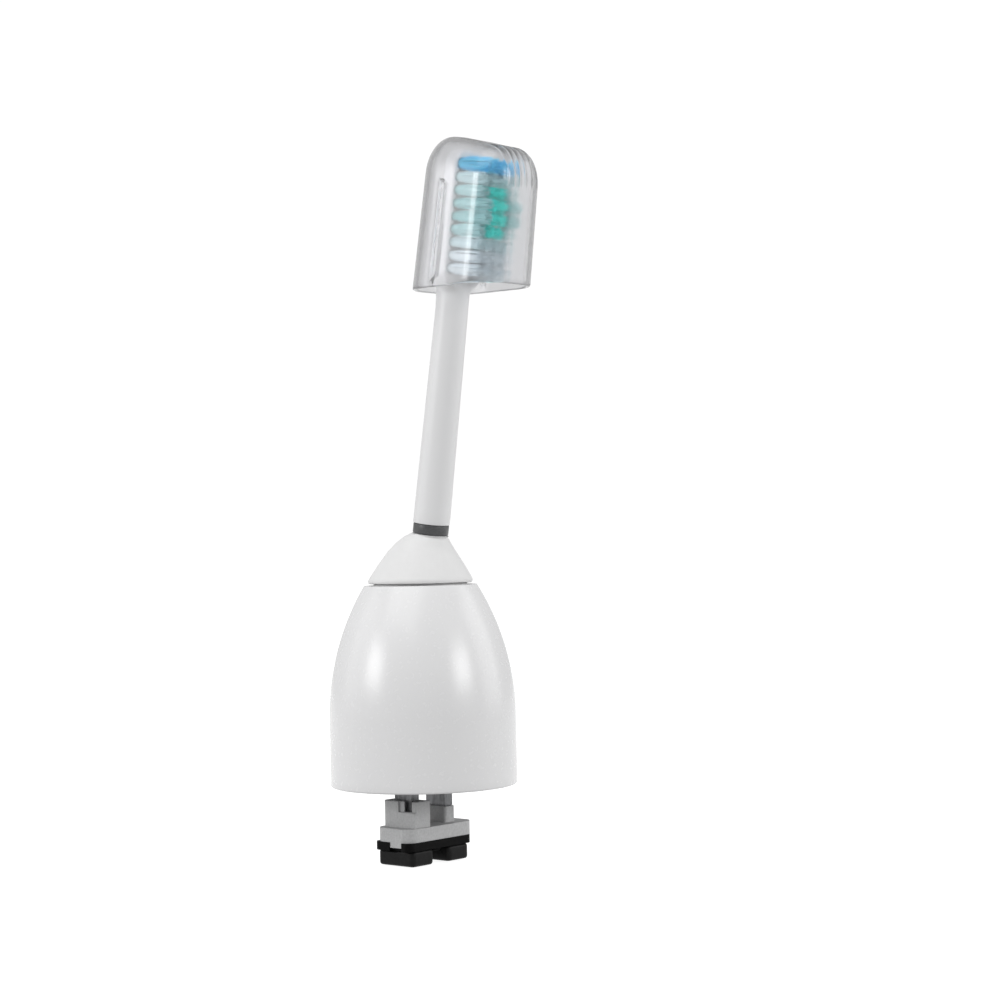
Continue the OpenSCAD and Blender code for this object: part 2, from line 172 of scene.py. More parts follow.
def arc(cx, cy, r, start_deg, end_deg, steps):
    """Points of an arc, both ends included."""
    return [
        (cx + r * math.cos(math.radians(a)), cy + r * math.sin(math.radians(a)))
        for a in np.linspace(start_deg, end_deg, steps + 1)
    ]


def round_ring(r, z, segments):
    """A circle about the third axis, at height z."""
    t = np.arange(segments) * TAU / segments
    return np.stack([r * np.cos(t), r * np.sin(t), np.full(segments, z)], 1)


def smoothstep(low, high, x):
    """Climbs from 0 to 1 between low and high, level at both ends."""
    t = np.clip((np.asarray(x, float) - low) / (high - low), 0, 1)
    return t * t * (3 - 2 * t)


def soften(obj, width_mm):
    """Rounds the sharp edges of a piece by modifiers, and leaves its mesh alone."""
    weld = obj.modifiers.new("weld", "WELD")
    weld.merge_threshold = 0.002 * MM
    flats = obj.modifiers.new("flats", "DECIMATE")
    flats.decimate_type = "DISSOLVE"
    flats.angle_limit = math.radians(1)
    bevel = obj.modifiers.new("edges", "BEVEL")
    bevel.width = width_mm * MM
    bevel.segments = 3
    bevel.limit_method = "ANGLE"
    bevel.angle_limit = math.radians(35)
    bevel.harden_normals = False
    for polygon in obj.data.polygons:
        polygon.use_smooth = True
    normals = obj.modifiers.new("normals", "WEIGHTED_NORMAL")
    normals.keep_sharp = False


# ---------------------------------------------------------------- materials

def material(name, color, roughness, metallic=0.0, **sockets):
    made = bpy.data.materials.new(name)
    made.use_nodes = True
    shader = made.node_tree.nodes["Principled BSDF"]
    shader.inputs["Base Color"].default_value = (*color, 1)
    shader.inputs["Roughness"].default_value = roughness
    shader.inputs["Metallic"].default_value = metallic
    for socket, value in sockets.items():
        shader.inputs[socket.replace("_", " ")].default_value = value
    return made


def noise(made, size_mm, detail=3.0, stretch=(1, 1, 1)):
    """A noise in the piece's own coordinates, whose spots are about size_mm across."""
    nodes, links = made.node_tree.nodes, made.node_tree.links
    where = nodes.new("ShaderNodeTexCoord")
    scale = nodes.new("ShaderNodeMapping")
    scale.inputs["Scale"].default_value = stretch
    made_noise = nodes.new("ShaderNodeTexNoise")
    made_noise.inputs["Scale"].default_value = 1 / (size_mm * MM)
    made_noise.inputs["Detail"].default_value = detail
    links.new(where.outputs["Object"], scale.inputs["Vector"])
    links.new(scale.outputs["Vector"], made_noise.inputs["Vector"])
    return made_noise.outputs["Fac"]


def tone(made, dark, light, fac):
    """Base colour that wanders between two tones."""
    nodes, links = made.node_tree.nodes, made.node_tree.links
    ramp = nodes.new("ShaderNodeValToRGB")
    ramp.color_ramp.elements[0].position = 0.3
    ramp.color_ramp.elements[0].color = (*dark, 1)
    ramp.color_ramp.elements[1].position = 0.7
    ramp.color_ramp.elements[1].color = (*light, 1)
    links.new(fac, ramp.inputs["Fac"])
    links.new(ramp.outputs["Color"], nodes["Principled BSDF"].inputs["Base Color"])
    return made


def rough(made, low, high, fac):
    """Roughness that wanders between two values."""
    nodes, links = made.node_tree.nodes, made.node_tree.links
    spread = nodes.new("ShaderNodeMapRange")
    spread.inputs["From Min"].default_value = 0.3
    spread.inputs["From Max"].default_value = 0.7
    spread.inputs["To Min"].default_value = low
    spread.inputs["To Max"].default_value = high
    links.new(fac, spread.inputs["Value"])
    links.new(spread.outputs["Result"], nodes["Principled BSDF"].inputs["Roughness"])
    return made


def bump(made, height_mm, fac, strength=1.0):
    """Fine relief of the given height."""
    nodes, links = made.node_tree.nodes, made.node_tree.links
    made_bump = nodes.new("ShaderNodeBump")
    made_bump.inputs["Strength"].default_value = strength
    made_bump.inputs["Distance"].default_value = height_mm * MM
    links.new(fac, made_bump.inputs["Height"])
    links.new(made_bump.outputs["Normal"], nodes["Principled BSDF"].inputs["Normal"])
    return made


def white_plastic(name, color, roughness):
    """Satin moulded plastic: faint flow marks and a fine mould grain."""
    made = material(name, color, roughness, Specular_IOR_Level=0.5)
    tone(made, [c * 0.998 for c in color], color, noise(made, 0.6, 2))
    rough(made, roughness - 0.006, roughness + 0.006, noise(made, 0.8, 2))
    return bump(made, 0.001, noise(made, 0.22, 1), 0.25)


def make_materials():
    m = {}
    m["nut"] = white_plastic("nut_plastic", (0.66, 0.66, 0.665), 0.27)
    m["stem"] = white_plastic("stem_plastic", (0.66, 0.66, 0.665), 0.34)
    m["housing"] = white_plastic("housing_plastic", (0.78, 0.78, 0.79), 0.5)

    boot = material("boot_rubber", (0.65, 0.65, 0.65), 0.62, Specular_IOR_Level=0.35)
    tone(boot, (0.645, 0.645, 0.645), (0.66, 0.66, 0.66), noise(boot, 1.6, 3))
    m["boot"] = bump(boot, 0.012, noise(boot, 0.16, 3), 0.6)

    gasket = material("gasket_rubber", (0.03, 0.03, 0.032), 0.7)
    m["gasket"] = bump(tone(gasket, (0.02, 0.02, 0.02), (0.045, 0.045, 0.045), noise(gasket, 0.5)),
                       0.01, noise(gasket, 0.12))

    ring = material("ring_plastic", (0.06, 0.062, 0.065), 0.34, Specular_IOR_Level=0.4)
    tone(ring, (0.036, 0.037, 0.038), (0.06, 0.061, 0.064), noise(ring, 0.35, 4, (1, 1, 3)))
    m["ring"] = bump(ring, 0.006, noise(ring, 0.1, 2))

    bush = material("bush_plastic", (0.78, 0.75, 0.66), 0.45)
    m["bush"] = tone(bush, (0.74, 0.71, 0.62), (0.8, 0.77, 0.68), noise(bush, 0.8))

    steel = material("pin_steel", (0.62, 0.63, 0.64), 0.25, 1.0)
    rough(steel, 0.18, 0.34, noise(steel, 0.12, 3, (1, 0.15, 1)))
    m["steel"] = bump(steel, 0.002, noise(steel, 0.08, 2, (1, 0.1, 1)))

    lever = material("lever_metal", (0.15, 0.152, 0.158), 0.42, 0.85)
    tone(lever, (0.10, 0.102, 0.106), (0.2, 0.202, 0.208), noise(lever, 0.5, 6, (1, 1, 0.25)))
    rough(lever, 0.34, 0.55, noise(lever, 0.25, 4, (1, 1, 0.2)))
    m["lever"] = bump(lever, 0.006, noise(lever, 0.09, 3, (1, 1, 0.15)))

    carrier = material("carrier_plastic", (0.33, 0.335, 0.34), 0.5)
    tone(carrier, (0.36, 0.362, 0.365), (0.44, 0.442, 0.445), noise(carrier, 0.3, 6))
    rough(carrier, 0.42, 0.6, noise(carrier, 0.8, 3))
    m["carrier"] = bump(carrier, 0.01, noise(carrier, 0.14, 3), 0.7)

    keeper = material("keeper_iron", (0.005, 0.005, 0.005), 0.45, Specular_IOR_Level=0.04)
    tone(keeper, (0.0015, 0.0015, 0.0015), (0.004, 0.004, 0.004), noise(keeper, 0.4, 5))
    m["keeper"] = bump(rough(keeper, 0.3, 0.5, noise(keeper, 0.7)), 0.006, noise(keeper, 0.12, 3))

    magnet = material("magnet_black", (0.01, 0.01, 0.01), 0.4, Specular_IOR_Level=0.1)
    tone(magnet, (0.003, 0.003, 0.003), (0.008, 0.008, 0.008), noise(magnet, 0.6, 5))
    m["magnet"] = bump(rough(magnet, 0.28, 0.45, noise(magnet, 0.9)), 0.006, noise(magnet, 0.2, 3))

    anchor = material("anchor_brass", (0.6, 0.43, 0.2), 0.3, 1.0)
    m["anchor"] = rough(anchor, 0.25, 0.45, noise(anchor, 0.1))

    m["blue"] = bristle("bristle_blue", (0.1, 0.6, 0.93), (0.2, 0.76, 0.97))
    m["green"] = bristle("bristle_green", (0.005, 0.86, 0.78), (0.03, 0.94, 0.87))
    # The last colour is painted light: a dark teal that stands in for the green light and the plate's shade
    # coming through the clear filaments
    m["white"] = bristle("bristle_white", (0.78, 0.83, 0.88), (0.88, 0.92, 0.95), (0.24, 0.6, 0.6))
    m["clear"] = clear_plastic()
    return m


def bristle(name, dark, light, painted_light_colour=None):
    """Nylon filament: each one has its own tone, and clear ones get painted green light and shade, standing
    in for their neighbours' colour and the plate's shade seen through them.
    """
    made = material(name, light, 0.4, Specular_IOR_Level=0.2)
    nodes, links = made.node_tree.nodes, made.node_tree.links
    own_tone = nodes.new("ShaderNodeAttribute")
    own_tone.attribute_name = "filament_tone"
    tone(made, dark, light, own_tone.outputs["Fac"])
    # Painted light: clear filaments are mixed towards a dark teal, standing in for the green light and the
    # plate's shade that come through them
    if painted_light_colour:
        shader_color = nodes["Principled BSDF"].inputs["Base Color"]
        painted_light_mix = nodes.new("ShaderNodeMix")
        painted_light_mix.data_type = "RGBA"
        painted_light_node = nodes.new("ShaderNodeAttribute")
        painted_light_node.attribute_name = "painted_light_share"
        factor, plain, other = (
            next(i for i in painted_light_mix.inputs if i.identifier == key)
            for key in ("Factor_Float", "A_Color", "B_Color")
        )
        result = next(o for o in painted_light_mix.outputs if o.identifier == "Result_Color")
        other.default_value = (*painted_light_colour, 1)
        links.new(painted_light_node.outputs["Fac"], factor)
        links.new(shader_color.links[0].from_socket, plain)
        links.new(result, shader_color)
    return bump(made, 0.002, noise(made, 0.06, 2))


def clear_plastic():
    """Clear moulded polystyrene with a faint unevenness, which lets the lamps reach the bristles."""
    made = material("clear_plastic", (0.83, 0.832, 0.845), 0.19, Transmission_Weight=1.0, IOR=1.45)
    bump(made, 0.01, noise(made, 3.5, 1), 0.25)
    nodes, links = made.node_tree.nodes, made.node_tree.links
    ray = nodes.new("ShaderNodeLightPath")
    clear = nodes.new("ShaderNodeBsdfTransparent")
    clear.inputs["Color"].default_value = (0.87, 0.875, 0.885, 1)
    mix = nodes.new("ShaderNodeMixShader")
    links.new(ray.outputs["Is Shadow Ray"], mix.inputs["Fac"])
    links.new(nodes["Principled BSDF"].outputs["BSDF"], mix.inputs[1])
    links.new(clear.outputs["BSDF"], mix.inputs[2])
    links.new(mix.outputs["Shader"], nodes["Material Output"].inputs["Surface"])
    return made


# ---------------------------------------------------------------- retaining nut

# The ridge's half width at its crest and at its foot, and how far round it fades in and out, in turns
RIDGE_CREST, RIDGE_FOOT, RIDGE_FADE = 0.32, 0.95, 0.12


def thread_height(angle, z):
    """How far the thread's ridge stands in from the root wall."""
    turn = (z - THREAD_START_Z) / THREAD_PITCH - angle / TAU
    along = np.clip(np.round(turn), 0, math.floor(THREAD_TURNS))
    off = abs(turn - along) * THREAD_PITCH
    wound = along + angle / TAU
    ridge = 1 - smoothstep(RIDGE_CREST, RIDGE_FOOT, off)
    fade_out = smoothstep(THREAD_TURNS - RIDGE_FADE, THREAD_TURNS, wound)
    ends = smoothstep(0, RIDGE_FADE, wound) * (1 - fade_out)
    return THREAD_DEPTH * float(ridge * ends)


def make_nut():
    """Turns the nut's profile about Z, with the thread drawn in from its root wall."""
    segments, thread_rows = 192, 80
    rim_r, lip_r = 0.3, 0.15
    lead_in_w, lead_in_h = 0.4, 0.45
    mouth_edge, mouth_edge_middle = 0.25, 0.07
    crown_x = NUT_R - NUT_CROWN_R
    crown_end = math.degrees(math.asin((NUT_H - NUT_STRAIGHT_H - lip_r * 0.75) / NUT_CROWN_R))
    profile = [(THREAD_ROOT_R + lead_in_w, 0), (NUT_R - rim_r, 0)]
    profile += arc(NUT_R - rim_r, rim_r, rim_r, -90, 0, 5)[1:]
    profile += [(NUT_R, z) for z in np.linspace(1.5, NUT_STRAIGHT_H - 1, 6)]
    profile += arc(crown_x, NUT_STRAIGHT_H, NUT_CROWN_R, 0, crown_end, 40)
    edge_r = profile[-1][0]
    profile += arc(edge_r - lip_r, NUT_H - lip_r, lip_r, crown_end, 90, 5)[1:]
    profile += [
        (MOUTH_R + mouth_edge, NUT_H), (MOUTH_R + mouth_edge_middle, NUT_H - mouth_edge_middle),
        (MOUTH_R, NUT_H - mouth_edge), (MOUTH_R, TAPER_HIGH_Z), (SHOULDER_R, TAPER_LOW_Z),
        (SHOULDER_R, SHOULDER_Z), (RELIEF_R, SHOULDER_Z), (RELIEF_R, THREAD_TOP_Z + 0.2),
        (THREAD_ROOT_R, THREAD_TOP_Z),
    ]
    first_thread_row = len(profile)
    profile += [(THREAD_ROOT_R, z) for z in np.linspace(THREAD_TOP_Z - 0.15, lead_in_h, thread_rows)]
    verts = []
    for row, (r, z) in enumerate(profile):
        for k in range(segments):
            angle = k * TAU / segments
            inner = r - thread_height(angle, z) if row >= first_thread_row else r
            verts.append((inner * math.cos(angle), inner * math.sin(angle), z))
    nut = new_object("nut", verts, ring_faces(len(profile), segments, wrap=True))
    sharpen(nut, 40)
    return nut


def sharpen(obj, angle_deg):
    """Smooth shading, with edges over an angle kept crisp."""
    fix = bmesh.new()
    fix.from_mesh(obj.data)
    for edge in fix.edges:
        edge.smooth = len(edge.link_faces) != 2 or edge.calc_face_angle(0) < math.radians(angle_deg)
    fix.to_mesh(obj.data)
    fix.free()


# ---------------------------------------------------------------- seal boot

BOOT_LIP_R, NECK_HOLE_R = 2.86, 2.7

# Height above the base, radius, how far the centre has moved forward, and the share of the neck's
# lean that it has taken on
BOOT_SECTIONS = np.array([
    [0.0, 8.15, 0.0, 0.0], [0.8, 8.0, 0.04, 0.0], [2.7, 6.85, 0.25, 0.1],
    [4.7, 5.48, 0.55, 0.35], [6.0, 4.45, 0.95, 0.6], [6.9, 3.6, 1.5, 0.85], [7.35, 2.98, 1.95, 1.0],
])


def boot_rings(wall, heights):
    """Rings of the boot's surface, drawn in by a wall, as (centre, radius, tip angle)."""
    rows = []
    for h in heights:
        r, forward, tip = (np.interp(h, BOOT_SECTIONS[:, 0], BOOT_SECTIONS[:, c]) for c in (1, 2, 3))
        rows.append((np.array([0, -forward, BOOT_BASE_Z + h - wall * 0.6]), r - wall, NECK_LEAN * tip))
    return rows


def tipped_ring(centre, r, tip, segments):
    """A circle round a centre, tipped forward by an angle."""
    a = np.arange(segments) * TAU / segments
    flat = np.stack([r * np.cos(a), r * np.sin(a) * math.cos(tip), r * np.sin(a) * math.sin(tip)], 1)
    return flat + centre


def make_boot():
    """Runs up the sleeve and the cone to the lip at the ring, and back down inside over the hub."""
    segments = 96
    top = BOOT_SECTIONS[-1, 0]
    wall, gap, edge = 0.8, 0.02, 0.3
    bore_r, sleeve_bore_r = HUB_BORE_R + 0.05, HUB_TOP_R + gap
    hub_cover_z, floor_z = HUB_TOP_Z + gap, BOOT_BASE_Z + 0.85
    rows = [(np.array([0, 0, z]), r, 0) for r, z in [
        (SLEEVE_R - 0.1, SLEEVE_Z), (SLEEVE_R, SLEEVE_Z + 0.2), (SLEEVE_R, BOOT_BASE_Z - 0.05),
        (BOOT_R - edge, BOOT_BASE_Z), (BOOT_R - 0.08, BOOT_BASE_Z + 0.08), (BOOT_R, BOOT_BASE_Z + edge),
        (BOOT_R - 0.02, BOOT_BASE_Z + 0.55),
    ]]
    rows += boot_rings(0, np.linspace(0.75, top, 30))
    rows += [(from_neck((0, 0, RING_S - below)), r, NECK_LEAN) for r, below in [
        (BOOT_LIP_R, 0.12), (BOOT_LIP_R - 0.1, 0.12), (NECK_HOLE_R, 0.2), (NECK_HOLE_R, 1.0),
    ]]
    rows += boot_rings(wall, np.linspace(top - 1.1, 1.2, 14))
    rows += [(np.array([0, 0, z]), r, 0) for r, z in [
        (BOOT_R - 0.85, floor_z + 0.05), (bore_r, floor_z), (bore_r, hub_cover_z),
        (sleeve_bore_r, hub_cover_z), (sleeve_bore_r, SLEEVE_Z),
    ]]
    verts = np.concatenate([tipped_ring(c, r, tip, segments) for c, r, tip in rows])
    boot = new_object("boot", verts, ring_faces(len(rows), segments, wrap=True))
    sharpen(boot, 50)
    return boot


# ---------------------------------------------------------------- stem: neck and bristle plate

PLATE_EDGE_R = 0.55
SPINE_H, SPINE_START_S, SPINE_FADE_S, SPINE_END_S = 1.25, BLEND_S - 3, 56, 72
# Exponents of the section's outline: 2 is round, and more is squarer
ROUND, SQUARISH = 2, 6.5


def section_at(s):
    """The stem's section: half width, centre, half depth, squareness, and the spine behind it."""
    to_plate = float(smoothstep(BLEND_S, BLEND_END_S, s))
    neck_r = np.interp(s, [RING_S + RING_H, BLEND_S], [NECK_LOW_R, NECK_HIGH_R])
    plate_w = PLATE_HALF_W
    round_from = PLATE_TOP_S - PLATE_CORNER_R
    if s > round_from:
        drop = min(s - round_from, PLATE_CORNER_R)
        plate_w += math.sqrt(PLATE_CORNER_R ** 2 - drop ** 2) - PLATE_CORNER_R
    middle = (PLATE_BACK - PLATE_FRONT) / 2
    depth = (PLATE_BACK + PLATE_FRONT) / 2
    if s > PLATE_TOP_S - PLATE_EDGE_R:
        drop = min(s - PLATE_TOP_S + PLATE_EDGE_R, PLATE_EDGE_R)
        depth += math.sqrt(PLATE_EDGE_R ** 2 - drop ** 2) - PLATE_EDGE_R
    spine_fade = 1 - smoothstep(SPINE_FADE_S, SPINE_END_S, s)
    spine = SPINE_H * float(smoothstep(SPINE_START_S, BLEND_END_S, s) * spine_fade)
    return (
        neck_r + (plate_w - neck_r) * to_plate, middle * to_plate, neck_r + (depth - neck_r) * to_plate,
        ROUND + (SQUARISH - ROUND) * to_plate, spine,
    )


def stem_ring(s, segments):
    """The stem's outline at s, as points in the neck's frame."""
    half_w, middle, half_d, square, spine = section_at(s)
    t = np.arange(segments) * TAU / segments
    c, d = np.cos(t), np.sin(t)
    x = half_w * np.sign(c) * np.abs(c) ** (2 / square)
    y = middle + half_d * np.sign(d) * np.abs(d) ** (2 / square)
    y = y + np.where(d > 0, spine * (1 - (x / half_w) ** 2) ** 2, 0)
    return np.stack([x, y, np.full(segments, s)], 1)


def make_stem():
    """The neck, from its root in the boot to the round end of the plate, with the tuft holes."""
    segments = 128
    root_edge = 0.3
    ring_top = RING_S + RING_H
    corner_s = PLATE_TOP_S - PLATE_CORNER_R
    rings = [round_ring(r, s, segments) for r, s in [
        (ROOT_R - root_edge, ROOT_S), (ROOT_R, ROOT_S + root_edge), (ROOT_R, ROOT_TOP_S),
        (UNDER_RING_R, ROOT_TOP_S + ROOT_TAPER_H), (UNDER_RING_R, RING_S - 0.05),
        (RING_BORE_R, RING_S), (RING_BORE_R, ring_top),
        (NECK_LOW_R - 0.15, ring_top + 0.03), (NECK_LOW_R - 0.03, ring_top + 0.09),
    ]]
    neck = np.linspace(ring_top + 0.25, BLEND_S - 3.5, 24)
    blend = np.linspace(BLEND_S - 3, BLEND_S + 4, 36)
    plate = np.linspace(BLEND_S + 5, corner_s, 12)
    round_end = [PLATE_TOP_S - PLATE_CORNER_R * (1 - math.sin(a)) for a in np.linspace(0.1, 1.5, 18)]
    heights = np.concatenate([neck, blend, plate, round_end, [PLATE_TOP_S - 0.002]])
    rings += [stem_ring(s, segments) for s in heights]
    verts = from_neck(np.concatenate(rings))
    faces = ring_faces(len(rings), segments, close_start=True, close_end=True)
    stem = new_object("stem", verts, faces)
    cut_tuft_holes(stem)
    sharpen(stem, 38)
    return stem


def tuft_centres():
    """Every tuft as (row, column, x, s). Row 0 is the tip's, where they stand closer together."""
    for row in range(ROWS):
        spread = 0.9 if row == 0 else 1
        for column in TUFT_COLUMNS:
            yield row, column, column * COLUMN_PITCH * spread, FIRST_ROW_S - row * ROW_PITCH


def tuft_radius(row):
    return TIP_TUFT_R if row == 0 else TUFT_R


def cut_tuft_holes(stem):
    """Sinks a countersunk hole in the plate for each tuft, and clears the slivers left by the cut."""
    segments = 24
    sliver = 0.004 * MM
    verts, faces = [], []
    for row, _, x, s in tuft_centres():
        r = tuft_radius(row) + 0.03
        start = len(verts)
        # Radius, and depth below the plate's face, down the countersink and the bore
        depths = [(r + 0.5, -0.4), (r + 0.12, -0.02), (r + 0.04, 0.1), (r + 0.04, HOLE_DEPTH)]
        for radius, depth in depths:
            for k in range(segments):
                a = k * TAU / segments
                verts.append((x + radius * math.cos(a), depth - PLATE_FRONT, s + radius * math.sin(a)))
        for face in ring_faces(len(depths), segments, close_start=True, close_end=True):
            faces.append(tuple(start + i for i in face))
    cutter = new_object("cutter", from_neck(verts), faces, smooth=False)
    cut = stem.modifiers.new("holes", "BOOLEAN")
    cut.operation = "DIFFERENCE"
    cut.solver = "EXACT"
    cut.use_self = True
    cut.object = cutter
    apply_modifiers(stem)
    bpy.data.objects.remove(cutter, do_unlink=True)
    mesh = bmesh.new()
    mesh.from_mesh(stem.data)
    bmesh.ops.remove_doubles(mesh, verts=mesh.verts, dist=sliver)
    bmesh.ops.dissolve_degenerate(mesh, edges=mesh.edges, dist=sliver)
    mesh.to_mesh(stem.data)
    mesh.free()


def apply_modifiers(obj):
    """Turns the modifiers of a piece that was made here into its mesh."""
    view = bpy.context.evaluated_depsgraph_get()
    done = bpy.data.meshes.new_from_object(obj.evaluated_get(view))
    obj.modifiers.clear()
    obj.data = done


# ---------------------------------------------------------------- colour ring

def make_ring():
    segments = 96
    edge, gap = 0.16, 0.01
    outer = arc(RING_R - edge, edge, edge, -90, 0, 3) + arc(RING_R - edge, RING_H - edge, edge, 0, 90, 3)
    profile = [(RING_BORE_R + gap, gap)] + outer + [(RING_BORE_R + gap, RING_H - gap)]
    rings = [round_ring(r, RING_S + z, segments) for r, z in profile]
    ring = new_object("ring", from_neck(np.concatenate(rings)), ring_faces(len(rings), segments, wrap=True))
    sharpen(ring, 60)
    return ring


# ---------------------------------------------------------------- bristles

LONG_ROWS = (3, 4)
LONG_OUTER, LONG_INNER, SHORT = 6.4, 5.9, 5.4
FILAMENT_R = 0.088
FILAMENT_PITCH = 0.2
LENGTH_SPREAD = (-0.3, 0.15)
SPLAY = (0.4, 0.65)
STRAY = 0.12
BEND_POWER = 4
# Share of a filament's length, and the share of its full thickness there, above the hole
FREE_STATIONS = ((0.27, 1), (0.35, 1), (0.5, 1), (0.75, 1), (0.98, 0.8), (1, 0.4))
# Share of painted green light and shade in the clear filaments of each row, standing in for the green
# tufts' colour and the plate's shade seen through them
PAINTED_GREEN_LIGHT = {1: 0.55, 2: 0.85, 3: 0.95, 4: 0.95, 5: 0.85, 6: 0.4}
FAINT_PAINTED_LIGHT, PAINTED_LIGHT_FADE = 0.15, 0.25


def bristle_length(row, column):
    if row in LONG_ROWS:
        return LONG_OUTER if abs(column) > 1 else LONG_INNER
    return SHORT


def filament_spots(r):
    """Where the filaments of one tuft stand, on a hexagonal grid."""
    reach = int(r / FILAMENT_PITCH) + 2
    for i in range(-reach, reach + 1):
        for k in range(-reach, reach + 1):
            x = (i + (k % 2) / 2) * FILAMENT_PITCH
            z = k * FILAMENT_PITCH * math.sqrt(3) / 2
            if math.hypot(x, z) <= r - FILAMENT_R:
                yield x, z


def make_tufts(name, chosen):
    """One bundle of filaments for each chosen tuft, joined in one piece."""
    sides = 6
    base = HOLE_DEPTH - 0.05
    verts, faces, tones, painted_light_shares = [], [], [], []
    for row, column, x, s in tuft_centres():
        if not chosen(row, column):
            continue
        for dx, ds in filament_spots(tuft_radius(row) - 0.04):
            length = bristle_length(row, column) + random.uniform(*LENGTH_SPREAD)
            splay = random.uniform(*SPLAY)
            lean_x = dx * splay + random.uniform(-STRAY, STRAY)
            lean_s = ds * splay + random.uniform(-STRAY, STRAY)
            own = random.random()
            start = len(verts)
            root = base / (length + base)
            stations = [(0, 1), (root, 1), *FREE_STATIONS]
            for share, swell in stations:
                bend = 1 - (1 - max(0, (share - root) / (1 - root))) ** BEND_POWER
                for k in range(sides):
                    a = k * TAU / sides
                    verts.append((
                        x + dx + lean_x * bend + swell * FILAMENT_R * math.cos(a),
                        base - PLATE_FRONT - share * (length + base),
                        s + ds + lean_s * bend + swell * FILAMENT_R * math.sin(a),
                    ))
                    tones.append(own)
                    # Painted green light and shade, by row and by how far up the filament
                    painted_light_shares.append(painted_light_at(row, share))
            for face in ring_faces(len(stations), sides, close_start=True, close_end=True):
                faces.append(tuple(start + i for i in face))
    tufts = new_object(name, from_neck(verts), faces)
    # Each filament's random tone, and its share of painted green light and shade
    for label, values in (("filament_tone", tones), ("painted_light_share", painted_light_shares)):
        attribute = tufts.data.attributes.new(label, "FLOAT", "POINT")
        attribute.data.foreach_set("value", np.array(values, np.float32))
    return tufts


def painted_light_at(row, share):
    """How much painted green light and shade a clear filament beside the green tufts gets, standing in for
    their colour coming through it; it fades towards the tip.
    """
    return PAINTED_GREEN_LIGHT.get(row, FAINT_PAINTED_LIGHT) * (1 - PAINTED_LIGHT_FADE * share)


# ---------------------------------------------------------------- travel cap

def rounded_outline(half_w, half_d, corner, segments):
    """A rectangle with round corners, as points spread evenly along its edge."""
    corner = min(corner, half_w - 1e-3, half_d - 1e-3)
    straight_w, straight_d = 2 * (half_w - corner), 2 * (half_d - corner)
    quarter = TAU / 4 * corner
    lengths = [straight_d, quarter, straight_w, quarter] * 2
    total = sum(lengths)
    points = []
    for k in range(segments):
        at = total * k / segments
        side = 0
        while at > lengths[side]:
            at -= lengths[side]
            side += 1
        f = at / lengths[side]
        cw, cd = half_w - corner, half_d - corner
        if side == 0:
            points.append((half_w, -cd + f * 2 * cd))
        elif side == 2:
            points.append((cw - f * 2 * cw, half_d))
        elif side == 4:
            points.append((-half_w, cd - f * 2 * cd))
        elif side == 6:
            points.append((-cw + f * 2 * cw, -half_d))
        else:
            cx, cy = [(cw, cd), (-cw, cd), (-cw, -cd), (cw, -cd)][side // 2]
            a = math.radians(90 * (side // 2)) + f * TAU / 4
            points.append((cx + corner * math.cos(a), cy + corner * math.sin(a)))
    return np.array(points)


FLUTE_XS = (-3.25, -1.95, -0.65, 0.65, 1.95, 3.25)
FLUTE_DEPTH, FLUTE_HALF_W, FLUTE_FLOOR_HALF_W = 0.1, 0.34, 0.05
FLUTE_LOW_H, FLUTE_FULL_H = CAP_H - 7.4, CAP_H - 6.2
FLUTE_BACK_Y, FLUTE_FRONT_Y = -1.5, -5.5

RIB_GAP, RIB_CREST_HALF_W, RIB_FOOT_HALF_W = 0.15, 0.3, 0.6
RIB_START_H, RIB_FULL_H, RIB_FADE = 0.5, 1.6, 0.5
# Further out than this, a point of the cavity is on a side wall
SIDE_WALL_X = 4
# Share of the way to the middle that the flat top's rings close in, before the last face fills it
TOP_CLOSING = 0.985


def flute(x, y, h):
    """Depth of the grip flutes that run over the cap's front shoulder."""
    if y > 0:
        return 0.0
    across = max(1 - smoothstep(FLUTE_FLOOR_HALF_W, FLUTE_HALF_W, abs(x - fx)) for fx in FLUTE_XS)
    down = smoothstep(FLUTE_LOW_H, FLUTE_FULL_H, h)
    front = smoothstep(-FLUTE_BACK_Y, -FLUTE_FRONT_Y, -y)
    return FLUTE_DEPTH * float(across * down * front)


def cap_ring(inset, height, rim_offset, rim_share, segments):
    """One ring round the cap. Near the rim it follows the rim's slope, by rim_share."""
    corner = max(CAP_CORNER_R - inset, 0.6)
    outline = rounded_outline(CAP_W / 2 - inset, CAP_D / 2 - inset, corner, segments)
    rim = -CAP_RIM_SLOPE * outline[:, 1] + rim_offset
    return np.column_stack([outline, rim * rim_share + height * (1 - rim_share)])


def front_drop(y):
    """How far the closed end lies lower at y than at the back."""
    back_y = CAP_D / 2 - CAP_CORNER_R - CAP_DRAFT
    front_y = -back_y - 2
    return CAP_FRONT_DROP * smoothstep(back_y, front_y, y)


